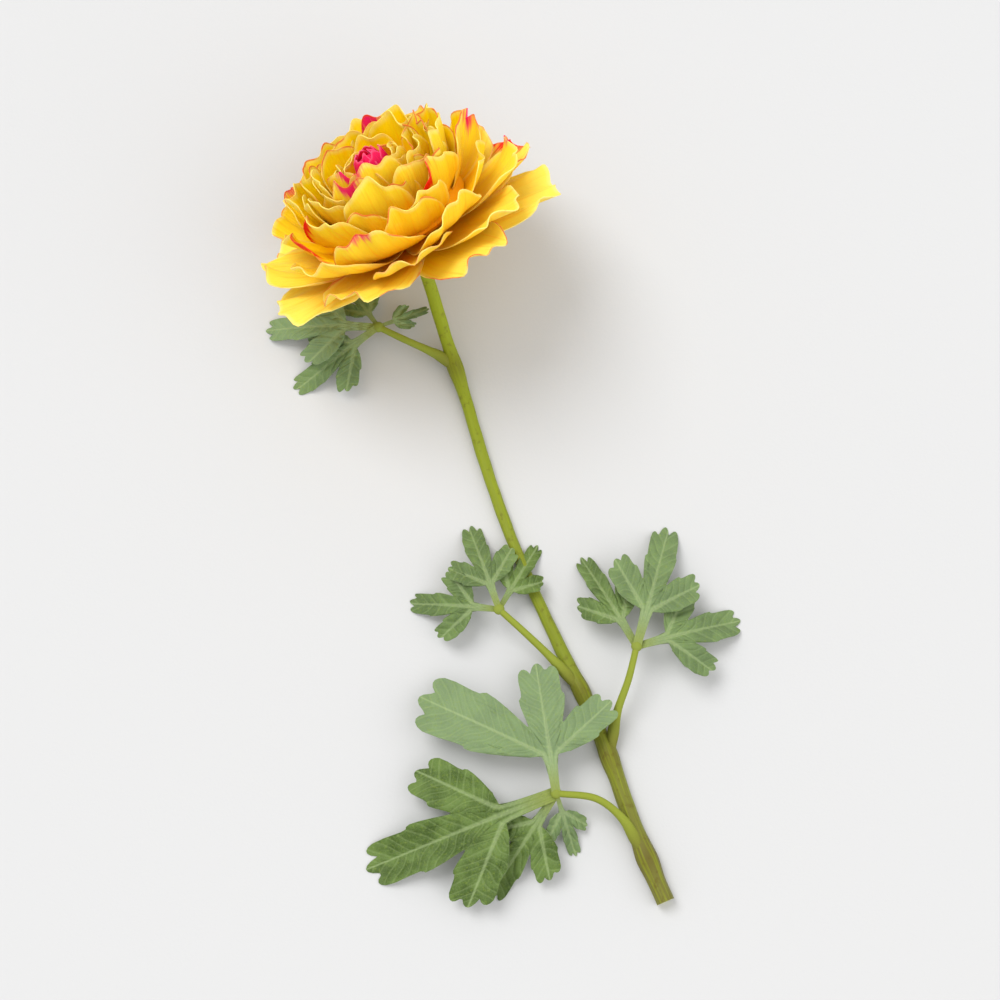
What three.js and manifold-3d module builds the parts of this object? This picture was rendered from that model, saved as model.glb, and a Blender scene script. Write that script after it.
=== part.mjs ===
// A ranunculus flower as picked: one many-petalled bloom with its pink heart and green calyx, on a
// cut stem with four divided leaves, lying on a flat surface. Millimetres, +Z up, surface at z = 0.
//
// The layout is drawn with the middle of the bloom near x = 0, y = 0 and the stem running towards -Y.
// At the end the whole flower moves so that its origin is the middle of its footprint.

import * as THREE from "three";
import { mergeVertices } from "three/addons/utils/BufferGeometryUtils.js";
import Module from "manifold-3d";

// ---- driving dimensions ---------------------------------------------------------------------------

const FOOTPRINT_MIDDLE = new THREE.Vector3(40.4, -110.2, 0); // layout point that becomes the origin
const BLADE = 0.7; // thickness of petals, sepals and leaf blades
const GAP = 0.3; // clearance between two pieces that touch
const WELD = 0.06; // edges shorter than this close up when pieces are fused
const SEED = 5; // seed of every small irregularity

const HEAD_AT = new THREE.Vector3(5, -12, 36); // where the petals meet the stem
const HEAD_TILT = 48; // degrees between the bloom's axis and the vertical
const HEAD_LEAN = 123; // compass direction, degrees from +X, in which the bloom leans

const PETALS = 57;
const SPIRAL = 137.508; // degrees from one petal to the next
const PETAL_WIDTH = [18, 37]; // innermost, outermost
const PETAL_ROOT = [0.5, 0.16]; // where a petal leaves the solid middle, as a share of its length
const PETAL_CROWDING = 0.82; // below 1, more of the petals belong to the outer layers
const PETAL_RUFFLE = [0.8, 2.6]; // depth of the waves near the tip, innermost and outermost
const PETAL_FLATNESS = 1.35; // a petal's curl is this many times wider than its ring
const PETAL_ROUNDING = 0.2; // how much shorter a petal is at its sides, as a share of its length
const PETAL_SCALLOP = 0.035; // depth of the scallops along its rim, as a share of its length
const PETAL_FULL_AT = 0.7; // share of its length at which a petal reaches its full width
const PETAL_SPREAD = { place: 0.018, width: 0.1, turn: 7, roll: 0.09, length: 0.05 }; // irregularity

const HEART_WELL = { radius: 8.3, floor: 20 };
const HEART_OUTLINE = [[0, 0], [5, 0], [5.9, 3], [5.4, 8.5], [3.4, 12], [0, 13.2]];
const HEART_WRAPS = 5; // petals wrapped round the bud
const HEART_WRAP_THICKNESS = 0.6;

const SEPALS = 5;
const SEPAL_HALF_WIDTH = 4.6;
const SEPAL_PROFILE = [[4.6, -5.2], [11, -5.4], [17.5, -7.2], [23, -11.5]];

const STEM_SINK = 0.3; // how far the underside is flattened where it lies on the surface
const STEM_RADIUS = [2.5, 2.1, 3.4]; // under the bloom, half way, at the cut
const JOINT_SWELL = 0.8; // extra radius at a leaf joint
const JOINT_REACH = 6; // how far along the stem a swelling reaches
const STALK_RADIUS = [1.7, 1.2]; // of a leaf's stalk, at the stem and at its end
const STEM_GRID = [9, 36]; // sides and rings of the stem
const STALK_GRID = [6, 6]; // sides and rings of a stalk

// Petal profiles as Bezier points [distance from axis, height] from root to tip, innermost first.
const PETAL_PROFILES = [
  [[9.4, 14], [11, 20], [12.8, 27], [9.2, 33.5]],
  [[5, 8], [14, 9], [20, 23], [18.5, 36.5]],
  [[5, 5], [20, 3], [30, 17], [31, 33.5]],
  [[6, 2.5], [26, 0], [42, 7], [47.5, 20]],
  [[6.5, 0.5], [24, -4], [43, -5], [60, -3]],
];

// The solid middle that the petals stand out of, from its flat underside to the heart's well.
const CORE_FOOT = -3;
const CORE_PROFILE = [
  [0, CORE_FOOT], [7, CORE_FOOT], [12, -2.8], [17, -0.8], [24, 2], [28.5, 6], [26.5, 10.5],
  [20, 15.5], [14, 21.5], [11, 23.5], [HEART_WELL.radius, HEART_WELL.floor], [0, HEART_WELL.floor],
];

// The stem's centreline from the calyx to the cut; where a height is null it lies on the surface.
const STEM_TOP = 9; // distance of its top end below the petals' root, along the bloom's axis
const STEM_STRAIGHT = 5.5; // length that it keeps to that axis
const STEM_ROUTE = [
  [14.6, -31, 18.4], [18.3, -42, 10.5], [22.3, -54, 5.2], [27, -68, 2.6], [34, -92, null],
  [42, -116, null], [51.5, -140, 2.8], [61.5, -162, null], [71, -182, null], [80, -203.5, null],
  [88.5, -228, null], [95.5, -246, null], [101, -259, null],
];

// Each leaf: the route of its stalk from the stem, and its leaflets, which part at the stalk's end.
// A leaflet runs to a tip, rises in an arch over the straight line to it, and has three lobes whose
// lengths are shares of its own, from right to left.
const LEAVES = [
  {
    name: "upper_leaf",
    stalk: [[21.8, -55, 3.4], [14, -52.5, 6.5], [4, -47.5, 9.5], [-6, -42.5, 10]],
    leaflets: [
      { to: [-48, -41], width: 27, rise: 4 },
      { to: [-37, -64], width: 24, rise: 2 },
      { to: [-19, -22], width: 14, rise: 0 },
      { to: [12, -35, 8], width: 9, rise: 0 },
    ],
  },
  {
    name: "middle_left_leaf",
    stalk: [[70, -179, 3], [60, -170, 7], [49, -160, 11], [40, -152, 12]],
    leaflets: [
      { to: [8, -148], width: 24, rise: 3 },
      { to: [29, -120], width: 24, rise: 3 },
      { to: [54, -127], width: 17, rise: 2 },
    ],
  },
  {
    name: "middle_right_leaf",
    stalk: [[79.5, -202, 3], [83, -190, 7], [88, -178, 11], [91, -166, 13]],
    leaflets: [
      { to: [129, -155], width: 31, rise: 4 },
      { to: [104, -121], width: 31, rise: 5 },
      { to: [72, -132], width: 21, rise: 3 },
    ],
  },
  {
    name: "lower_leaf",
    stalk: [[92.5, -240, 3.4], [86, -229, 7], [76, -222, 9.5], [61, -220, 10]],
    leaflets: [
      { to: [-6, -246], width: 50, rise: 5 },
      { to: [54, -174, 8], width: 45, rise: 3, lobes: [0.85, 1, 1.5] },
      { to: [37, -256], width: 29, rise: 2 },
      { to: [68, -241], width: 14, rise: 0 },
    ],
  },
];

const LOBE_LENGTHS = [0.8, 1, 0.8];
const LOBE_ANGLE = 43; // degrees from the middle lobe to a side lobe
const SINUS = 0.46; // how far out the cuts between lobes start
const LOBE_WIDTH = 0.7; // width of a lobe's end, as a share of the lobe's sector
const NECK = 0.26; // how narrow the leaflet starts, as a share of its full spread
const NECK_HALF = 1.2; // half the width of its very start
const NECK_STEP = 0.7; // neighbouring necks leave the knot this far above and below its middle
const NECK_LEAD = 0.6; // how far ahead of the knot's middle a leaflet starts
const CREASE = 0.0175; // depth of the fold along each lobe's vein, as a share of the length
const LEAF_WAVE = 0.02; // height of the waves across a leaflet, as a share of the length
const LEAF_ROLL = 0.1; // slope by which a leaflet leans to one side
const KNOT_RADIUS = 2.5; // swelling at a stalk's end, where the leaflets part

// ---- small helpers --------------------------------------------------------------------------------

const wasm = await Module();
wasm.setup();

const UP = new THREE.Vector3(0, 0, 1);
const { cos, sin, abs, max, min, sqrt, PI, hypot } = Math;
const radians = THREE.MathUtils.degToRad;
const mix = THREE.MathUtils.lerp;
const ease = THREE.MathUtils.smoothstep;

/** A fixed irregular number between -1 and 1 for one thing (index) and one of its features. */
function jitter(index, feature) {
  const wave = sin(index * 12.9898 + feature * 78.233 + SEED) * 43758.5453;
  return 2 * (wave - Math.floor(wave)) - 1;
}

/** Height of a blade's middle, held up where it meets the surface, with a small round bend there. */
function rested(height) {
  const floor = BLADE / 2 - 0.05;
  const bend = 0.5;
  const above = height - floor;
  return floor + 0.5 * (above + sqrt(above * above + bend * bend));
}

/** The x and y of a point at a distance out and across, turned about the Z axis. */
function spun(out, across, turn) {
  return [out * cos(turn) - across * sin(turn), out * sin(turn) + across * cos(turn)];
}

/** Point on a Bezier curve of four [distance, height] points. */
function bezier(points, v) {
  const w = 1 - v;
  const weights = [w * w * w, 3 * w * w * v, 3 * w * v * v, v * v * v];
  return [0, 1].map((axis) => weights.reduce((sum, weight, k) => sum + weight * points[k][axis], 0));
}

/** A closed three.js geometry as a solid that can be joined and cut. */
function toSolid(geometry) {
  const bare = geometry.clone();
  bare.deleteAttribute("normal");
  bare.deleteAttribute("uv");
  const merged = mergeVertices(bare, 1e-4);
  const triangles = [];
  const index = merged.index.array;
  for (let k = 0; k < index.length; k += 3) {
    const [a, b, c] = [index[k], index[k + 1], index[k + 2]];
    if (a !== b && b !== c && c !== a) triangles.push(a, b, c);
  }
  const vertProperties = new Float32Array(merged.attributes.position.array);
  const triVerts = new Uint32Array(triangles);
  return new wasm.Manifold(new wasm.Mesh({ numProp: 3, vertProperties, triVerts }));
}

/** The triangles left when every edge shorter than WELD shrinks to one of its ends. */
function closeShortEdges(positions, corners) {
  const faces = [];
  const around = new Map();
  for (let k = 0; k < corners.length; k += 3) faces.push(Array.from(corners.slice(k, k + 3)));
  faces.forEach((face) => face.forEach((corner) => {
    if (!around.has(corner)) around.set(corner, new Set());
    around.get(corner).add(face);
  }));
  const neighbours = (corner) => new Set([...around.get(corner)].flat());
  const place = (corner) => new THREE.Vector3().fromArray(positions, corner * 3);
  const shrink = (kept, gone) => {
    const nearKept = neighbours(kept);
    const shared = [...neighbours(gone)].filter((corner) => nearKept.has(corner));
    if (shared.length !== 4) return; // the two ends and just two corners beside them
    around.get(gone).forEach((face) => {
      if (face.includes(kept)) {
        face.forEach((corner) => around.get(corner).delete(face));
        face.length = 0;
      } else {
        face[face.indexOf(gone)] = kept;
        around.get(kept).add(face);
      }
    });
    around.delete(gone);
  };
  faces.forEach((face) => {
    for (let side = 0; side < 3 && face.length; side += 1) {
      const [from, to] = [face[side], face[(side + 1) % 3]];
      if (place(from).distanceTo(place(to)) < WELD) shrink(from, to);
    }
  });
  return faces.flat();
}

/** The solid's largest body as a three.js geometry: sealed hollows fill and loose scraps drop. */
function toGeometry(solid) {
  const bodies = solid.decompose().sort((a, b) => b.volume() - a.volume());
  const { vertProperties, triVerts } = bodies[0].getMesh();
  const geometry = new THREE.BufferGeometry();
  geometry.setAttribute("position", new THREE.BufferAttribute(vertProperties, 3));
  geometry.setIndex(closeShortEdges(vertProperties, triVerts));
  geometry.computeVertexNormals();
  return geometry;
}

/** Several solids fused into one. */
function fuse(solids) {
  return solids.reduce((whole, solid) => whole.add(solid));
}

/** A profile of [distance, height] points turned into a round solid about the Z axis. */
function turned(outline, sides) {
  const round = new THREE.LatheGeometry(outline.map(([x, y]) => new THREE.Vector2(x, y)), sides);
  return round.rotateX(PI / 2);
}

/** A thin closed blade on a surface: surface(u, v) gives a point for u in -1..1 and v in 0..1. */
function blade(columns, rows, surface, thickness = BLADE) {
  const grid = new THREE.PlaneGeometry(2, 1, columns, rows);
  const flat = grid.attributes.position;
  const count = flat.count;
  const positions = new Float32Array(count * 6);
  const step = 2e-3;
  for (let k = 0; k < count; k += 1) {
    const u = flat.getX(k);
    const v = 0.5 + flat.getY(k);
    const middle = surface(u, v);
    const across = surface(min(u + step, 1), v).sub(surface(max(u - step, -1), v));
    const along = surface(u, min(v + step, 1)).sub(surface(u, max(v - step, 0)));
    const half = across.cross(along).setLength(thickness / 2);
    middle.clone().add(half).toArray(positions, k * 3);
    middle.clone().sub(half).toArray(positions, (count + k) * 3);
  }
  const front = Array.from(grid.index.array);
  const triangles = [...front];
  const directed = new Set();
  for (let k = 0; k < front.length; k += 3) {
    const [a, b, c] = front.slice(k, k + 3);
    triangles.push(count + a, count + c, count + b);
    [[a, b], [b, c], [c, a]].forEach(([from, to]) => directed.add(`${from},${to}`));
  }
  directed.forEach((edge) => {
    const [from, to] = edge.split(",").map(Number);
    if (directed.has(`${to},${from}`)) return;
    triangles.push(to, from, count + from);
    triangles.push(to, count + from, count + to);
  });
  const closed = new THREE.BufferGeometry();
  closed.setAttribute("position", new THREE.BufferAttribute(positions, 3));
  closed.setIndex(triangles);
  return closed;
}

/** A round closed bar bent along a curve, its radius given by the share of the length passed. */
function bentBar(curve, radiusAt, sides, steps) {
  const bar = new THREE.CylinderGeometry(1, 1, 1, sides, steps);
  const frames = curve.computeFrenetFrames(steps, false);
  const position = bar.attributes.position;
  for (let k = 0; k < position.count; k += 1) {
    const ring = Math.round((0.5 + position.getY(k)) * steps);
    const radius = radiusAt(ring / steps);
    const point = curve.getPointAt(ring / steps);
    point.addScaledVector(frames.normals[ring], radius * position.getX(k));
    point.addScaledVector(frames.binormals[ring], -radius * position.getZ(k));
    position.setXYZ(k, point.x, point.y, point.z);
  }
  return bar;
}

/** A geometry of the layout's frame, flattened where it would sink below the surface it lies on. */
function laidDown(geometry) {
  const position = geometry.attributes.position;
  for (let k = 0; k < position.count; k += 1) position.setZ(k, max(0, position.getZ(k)));
  return geometry;
}

/** A named piece with its own plain material. */
function piece(name, geometry, color, roughness) {
  const mesh = new THREE.Mesh(geometry, new THREE.MeshStandardMaterial({ color, roughness, metalness: 0 }));
  mesh.name = name;
  return mesh;
}

// ---- the head: bloom, heart and calyx share one tilted frame --------------------------------------

const headAxis = new THREE.Vector3(
  sin(radians(HEAD_TILT)) * cos(radians(HEAD_LEAN)),
  sin(radians(HEAD_TILT)) * sin(radians(HEAD_LEAN)),
  cos(radians(HEAD_TILT)),
);
const headTurn = new THREE.Quaternion().setFromUnitVectors(UP, headAxis);

/** A point of the head's own frame as a layout point. */
function headPoint(x, y, z) {
  return new THREE.Vector3(x, y, z).applyQuaternion(headTurn).add(HEAD_AT);
}

/** The profile of a petal whose place between innermost (0) and outermost (1) is given. */
function petalProfile(place) {
  const slot = min(place, 0.9999) * (PETAL_PROFILES.length - 1);
  const inner = PETAL_PROFILES[Math.floor(slot)];
  const outer = PETAL_PROFILES[Math.floor(slot) + 1];
  return inner.map((point, k) => [0, 1].map((axis) => mix(point[axis], outer[k][axis], slot % 1)));
}

/** Surface of petal number k at its place, in the layout's frame, for u across it and v along it. */
function petalSurface(k, place) {
  const profile = petalProfile(min(1, max(0, place + PETAL_SPREAD.place * jitter(k, 1))));
  const width = mix(...PETAL_WIDTH, place) * (1 + PETAL_SPREAD.width * jitter(k, 2));
  const ruffle = mix(...PETAL_RUFFLE, place);
  const turn = radians(k * SPIRAL + PETAL_SPREAD.turn * jitter(k, 3));
  const roll = PETAL_SPREAD.roll * jitter(k, 4);
  const length = 1 + PETAL_SPREAD.length * jitter(k, 5);
  const root = mix(...PETAL_ROOT, place);
  return (u, v) => {
    const scallop = PETAL_SCALLOP * sin(6 * u + 3 * jitter(k, 6));
    const rim = length * (1 - PETAL_ROUNDING * abs(u) ** 3 - scallop);
    const reach = mix(root, rim, sin(0.5 * PI * v));
    const [distance, height] = bezier(profile, reach);
    const [nearer, lower] = bezier(profile, reach - 0.01);
    const slope = hypot(distance - nearer, height - lower);
    const fullness = 0.5 + 0.5 * sin(0.5 * PI * min(1, reach / PETAL_FULL_AT));
    const side = 0.5 * width * u * fullness;
    const curl = PETAL_FLATNESS * distance;
    const wave = ruffle * reach ** 4 * sin(3.6 * u + 3 * jitter(k, 7)) + roll * side;
    const out = distance - curl + (curl + wave * ((height - lower) / slope)) * cos(side / curl);
    const across = curl * sin(side / curl);
    const up = height - wave * ((distance - nearer) / slope);
    const point = headPoint(...spun(out, across, turn), up);
    point.z = rested(point.z);
    return point;
  };
}

/** The yellow petals in their layers, fused to the solid middle and flat where they lie. */
function buildBloom() {
  const core = turned(CORE_PROFILE, 20).applyQuaternion(headTurn).translate(...HEAD_AT);
  const solids = [toSolid(core)];
  for (let k = 0; k < PETALS; k += 1) {
    const place = (k / (PETALS - 1)) ** PETAL_CROWDING;
    const columns = place < 0.4 ? 4 : 6;
    solids.push(toSolid(laidDown(blade(columns, 3, petalSurface(k, place)))));
  }
  return piece("bloom", toGeometry(fuse(solids)), "#f4b010", 0.6);
}

/** The closed pink petals at the middle, in the head's frame, standing on the floor of the well. */
function buildHeart() {
  const foot = HEART_WELL.floor + GAP;
  const solids = [toSolid(turned(HEART_OUTLINE, 12).translate(0, 0, foot))];
  for (let k = 0; k < HEART_WRAPS; k += 1) {
    const profile = [[5, 1], [6.4, 4], [6.6, 9], [3.4 - 0.3 * k, 15.5 - 0.2 * k]];
    const turn = radians(k * SPIRAL);
    const surface = (u, v) => {
      const [distance, height] = bezier(profile, v * (1 - 0.2 * u * u));
      const swirl = distance + 0.5 * u; // one side lies over the next wrap, the other under the last
      return new THREE.Vector3(...spun(swirl, 0, turn + 0.62 * u), height + foot);
    };
    solids.push(toSolid(blade(3, 2, surface, HEART_WRAP_THICKNESS)));
  }
  return piece("heart", toGeometry(fuse(solids)), "#e8174f", 0.55);
}

/** The green cup behind the petals with its five spread sepals, in the head's frame. */
function buildCalyx() {
  const [foot, rim] = [GAP - STEM_TOP, CORE_FOOT - GAP];
  const outline = [[0, foot], [3.2, foot], [4.2, foot + 1.3], [7, rim - 1.1], [7, rim], [0, rim]];
  const solids = [toSolid(turned(outline, 16))];
  for (let k = 0; k < SEPALS; k += 1) {
    const turn = (2 * PI * k) / SEPALS + 0.2;
    const surface = (u, v) => {
      const [distance, height] = bezier(SEPAL_PROFILE, v * (1 - 0.12 * u * u));
      const side = SEPAL_HALF_WIDTH * u * sin(PI * min(0.97, 0.2 + 0.8 * v)) ** 0.8;
      return new THREE.Vector3(...spun(distance, side, turn), height - 0.07 * side * side);
    };
    solids.push(toSolid(blade(4, 3, surface)));
  }
  return piece("calyx", toGeometry(fuse(solids)), "#a9b04a", 0.7);
}

// ---- the stem -------------------------------------------------------------------------------------

/** The stem's radius at a share of its length, swollen at the leaf joints. */
function stemRadius(share, length, joints) {
  const [top, middle, foot] = STEM_RADIUS;
  const plain = share < 0.5 ? mix(top, middle, share / 0.5) : mix(middle, foot, (share - 0.5) / 0.5);
  return joints.reduce((radius, joint) => {
    const away = (share - joint) * length / JOINT_REACH;
    return radius + JOINT_SWELL * Math.exp(-away * away);
  }, plain);
}

/** The centreline of the stem, starting along the bloom's axis. */
function stemCurve() {
  const start = [headPoint(0, 0, -STEM_TOP), headPoint(0, 0, -STEM_TOP - STEM_STRAIGHT)];
  const shares = STEM_ROUTE.map((_, k) => (k + 2) / (STEM_ROUTE.length + 1));
  const route = STEM_ROUTE.map(([x, y, z], k) => {
    const lying = stemRadius(shares[k], 1, []) - STEM_SINK;
    return new THREE.Vector3(x, y, z ?? lying);
  });
  return new THREE.CatmullRomCurve3([...start, ...route], false, "centripetal");
}

/** The share of the stem's length at which it passes closest to a layout point. */
function shareNear(curve, [x, y]) {
  const samples = 400;
  let best = 0;
  let nearest = Infinity;
  for (let k = 0; k <= samples; k += 1) {
    const point = curve.getPointAt(k / samples);
    const away = hypot(point.x - x, point.y - y);
    if (away < nearest) [best, nearest] = [k / samples, away];
  }
  return best;
}

/** The stem as a solid, grown by the given clearance for cutting what meets it. */
function stemSolid(curve, joints, clearance) {
  const length = curve.getLength();
  const radiusAt = (share) => stemRadius(share, length, joints) + clearance;
  return toSolid(laidDown(bentBar(curve, radiusAt, ...STEM_GRID)));
}

// ---- the leaves -----------------------------------------------------------------------------------

/** How far a leaflet reaches along a ray, as a share of its length, for u in -1..1 across it. */
function leafletReach(u, lobes) {
  const slot = (u + 1) * 1.5;
  const lobe = min(2, Math.floor(slot));
  const side = abs(2 * (slot - lobe) - 1);
  const teeth = 1 - 0.16 * side * side + 0.02 * cos(side * 2.5 * PI);
  const cut = ease(side, 0.7, 1);
  const floor = abs(u) > 0.99 ? 0.8 * SINUS : SINUS;
  return mix(lobes[lobe] * teeth, floor, cut);
}

/** The middle, in u, of the lobe that u is on; at a margin or a cut between lobes it is u itself. */
function lobeMiddle(u) {
  const onCut = abs(abs(u) - 1 / 3) < 0.01;
  return onCut || abs(u) > 0.99 ? u : Math.round(1.5 * u) / 1.5;
}

/** Surface of one leaflet: u runs across it, v from its neck to its toothed rim. */
function leafletSurface({ to, width, rise, lobes = LOBE_LENGTHS }, from, key) {
  const start = from.clone();
  start.z += key % 2 ? NECK_STEP : -NECK_STEP;
  const ahead = new THREE.Vector2(to[0] - from.x, to[1] - from.y);
  const length = ahead.length();
  const heading = ahead.angle();
  const spread = radians(LOBE_ANGLE * 1.5);
  const widest = 2 * LOBE_LENGTHS[0] * length * sin(radians(LOBE_ANGLE));
  const stretch = width / widest;
  return (u, v) => {
    const reach = v * mix(SINUS, leafletReach(u, lobes), v);
    const fan = mix(NECK, 1, ease(v, 0.05, 0.45));
    const taper = mix(1, LOBE_WIDTH, ease(v, 0.4, 0.9));
    const angle = spread * fan * mix(lobeMiddle(u), u, taper);
    const forward = length * reach * cos(angle) + NECK_LEAD;
    const side = stretch * length * reach * sin(angle) + NECK_HALF * u * (1 - v);
    const share = forward / length;
    const arch = mix(start.z, to[2] ?? 0, share) + rise * 4 * share * (1 - share);
    const crease = -CREASE * length * ease(reach, 0.1, 0.7) * cos(3 * PI * u);
    const wave = LEAF_WAVE * length * share * sin(0.22 * side + 3 * jitter(key, 8));
    const roll = LEAF_ROLL * side * jitter(key, 9);
    const [x, y] = spun(forward, side, heading);
    return new THREE.Vector3(start.x + x, start.y + y, rested(arch + crease + wave + roll));
  };
}

/** One leaf: its stalk and leaflets fused, clear of the stem and flat where it lies. */
function buildLeaf({ name, stalk, leaflets }, leafNumber, sheath) {
  const curve = new THREE.CatmullRomCurve3(stalk.map((point) => new THREE.Vector3(...point)));
  const end = curve.getPoint(1);
  const bar = bentBar(curve, (share) => mix(...STALK_RADIUS, share), ...STALK_GRID);
  const knot = new THREE.SphereGeometry(KNOT_RADIUS, 6, 4).translate(...end);
  const solids = [toSolid(bar), toSolid(knot)];
  leaflets.forEach((leaflet, k) => {
    const columns = leaflet.width > 20 ? 18 : 9;
    const rows = leaflet.width > 28 ? 3 : 2;
    const surface = leafletSurface(leaflet, end, 10 * leafNumber + k);
    solids.push(toSolid(laidDown(blade(columns, rows, surface))));
  });
  const leaf = fuse(solids).subtract(sheath);
  return piece(name, toGeometry(leaf), "#7d9a58", 0.75);
}

// ---- the whole flower -----------------------------------------------------------------------------

const curve = stemCurve();
const joints = LEAVES.map(({ stalk }) => shareNear(curve, stalk[0]));
const stem = stemSolid(curve, joints, 0);
const sheath = stemSolid(curve, joints, GAP);

const head = new THREE.Group();
head.position.copy(HEAD_AT);
head.quaternion.copy(headTurn);
head.add(buildHeart(), buildCalyx());

const flower = new THREE.Group();
flower.add(piece("stem", toGeometry(stem), "#7f8b2c", 0.65));
flower.add(head);
flower.add(buildBloom());
LEAVES.forEach((leaf, number) => flower.add(buildLeaf(leaf, number, sheath)));
flower.position.copy(FOOTPRINT_MIDDLE).negate();

export default flower;
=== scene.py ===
"""Looks of a picked ranunculus flower that lies on a pale surface.

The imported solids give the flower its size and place. Each of them is replaced here by a finer piece
that is drawn on the same curves: petals with ruffled rims, a wrapped pink heart, pale-edged sepals,
a ribbed stem and divided leaves with raised veins. Shapes are drawn in millimetres in the layout's
frame, where the bloom is near x = 0, y = 0, and are written in metres in the row's frame.
"""

import logging
from collections.abc import Callable, Sequence
from dataclasses import dataclass, field
from enum import Enum
from math import atan2, copysign, cos, dist, exp, floor, hypot, pi, radians, sin, sqrt, tau

import bmesh
import bpy
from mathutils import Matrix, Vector

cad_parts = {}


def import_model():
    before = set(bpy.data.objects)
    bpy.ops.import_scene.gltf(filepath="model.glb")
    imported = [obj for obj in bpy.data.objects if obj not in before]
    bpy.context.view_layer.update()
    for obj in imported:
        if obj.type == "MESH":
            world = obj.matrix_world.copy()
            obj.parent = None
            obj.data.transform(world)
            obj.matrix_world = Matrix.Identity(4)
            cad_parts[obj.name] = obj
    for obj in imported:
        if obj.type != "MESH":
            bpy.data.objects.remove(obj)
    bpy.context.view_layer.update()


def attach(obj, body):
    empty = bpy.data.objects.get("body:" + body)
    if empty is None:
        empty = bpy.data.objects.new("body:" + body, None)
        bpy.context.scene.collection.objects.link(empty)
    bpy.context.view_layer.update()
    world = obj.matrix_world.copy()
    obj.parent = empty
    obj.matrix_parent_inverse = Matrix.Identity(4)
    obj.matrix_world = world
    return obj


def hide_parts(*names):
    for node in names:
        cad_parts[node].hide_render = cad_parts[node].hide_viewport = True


logger = logging.getLogger("ranunculus")

FOOTPRINT_MIDDLE = Vector((40.4, -110.2, 0.0))
METRES = 0.001
SEED = 5
SPIRAL = 137.508  # degrees from each petal to the next, as in nearly every spiral that grows
UP = Vector((0.0, 0.0, 1.0))
BODY = "root"
VEIN_SPACING = 4.2  # of the side veins on a leaf, in millimetres
LOBES_PER_UNIT = 1.5  # of u, because a leaflet's three lobes share u from -1 to 1

Pair = tuple[float, float]
Pairs = Sequence[Pair]
Triple = tuple[float, float, float]
Surface = Callable[[float, float], Vector]
Values = dict[str, float]
Inputs = dict[int | str, object]
Marks = Callable[[float, float], Values]
Tree = bpy.types.NodeTree
Socket = bpy.types.NodeSocket
Material = bpy.types.Material


# ---- numbers and curves ----


def mix(low: float, high: float, share: float) -> float:
    """The number at a share of the way between two others."""
    return low + (high - low) * share


def ease(value: float, low: float, high: float) -> float:
    """A smooth step from 0 at low to 1 at high, where low may also be the larger number."""
    share = min(1.0, max(0.0, (value - low) / (high - low)))
    return share * share * (3.0 - 2.0 * share)


def jitter(index: int, feature: int) -> float:
    """A fixed irregular number between -1 and 1 for one thing and one of its features."""
    wave = sin(index * 12.9898 + feature * 78.233 + SEED) * 43758.5453
    return 2.0 * (wave - floor(wave)) - 1.0


def bezier(points: Pairs, v: float) -> Pair:
    """Point on a curve of four control points.

    Args:
        points: Four pairs of distance and height.
        v: Share of the curve, 0 to 1.

    Returns:
        The distance and height at that share.
    """
    w = 1.0 - v
    weights = (w * w * w, 3 * w * w * v, 3 * w * v * v, v * v * v)
    distance, height = (
        sum(weight * point[axis] for weight, point in zip(weights, points)) for axis in (0, 1)
    )
    return distance, height


def between(first: Pairs, last: Pairs, share: float) -> Pairs:
    """The points at a share of the way from one profile's points to another's."""
    return [(mix(a[0], b[0], share), mix(a[1], b[1], share)) for a, b in zip(first, last)]


def rested(height: float, lowest: float, bend: float = 0.5) -> float:
    """Height of a blade that is held up where it meets the surface, with a small round bend."""
    above = height - lowest
    return lowest + 0.5 * (above + sqrt(above * above + bend * bend))


def spun(out: float, across: float, turn: float) -> Pair:
    """The x and y of a point at a distance out and across, turned about the Z axis."""
    return out * cos(turn) - across * sin(turn), out * sin(turn) + across * cos(turn)


# ---- finishes ----

SMOOTH = {"interpolation_type": "SMOOTHSTEP"}
GREEN_GLOW = (0.6, 1.0, 0.25)


def linear(colour: str) -> tuple[float, float, float, float]:
    """An sRGB hex colour as linear red, green, blue and alpha."""
    parts = [int(colour[k : k + 2], 16) / 255.0 for k in (1, 3, 5)]
    red, green, blue = (
        part / 12.92 if part <= 0.04045 else ((part + 0.055) / 1.055) ** 2.4 for part in parts
    )
    return (red, green, blue, 1.0)


def add(
    tree: Tree, kind: str, inputs: Inputs | None = None, output: int = 0, **settings: object
) -> Socket:
    """Adds one node with its settings and links.

    Args:
        tree: The node tree that the node goes into.
        kind: The node's Blender type, after the word ShaderNode.
        inputs: A value or another node's socket for each input that isn't left as it is.
        output: The number of the output that is wanted.
        **settings: The node's own properties.

    Returns:
        The output socket, or the first input's where the node has no output.
    """
    node = tree.nodes.new("ShaderNode" + kind)
    for name, value in settings.items():
        setattr(node, name, value)
    for name, value in (inputs or {}).items():
        if isinstance(value, Socket):
            tree.links.new(value, node.inputs[name])
        else:
            node.inputs[name].default_value = value
    return node.outputs[output] if node.outputs else node.inputs[0]


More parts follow.
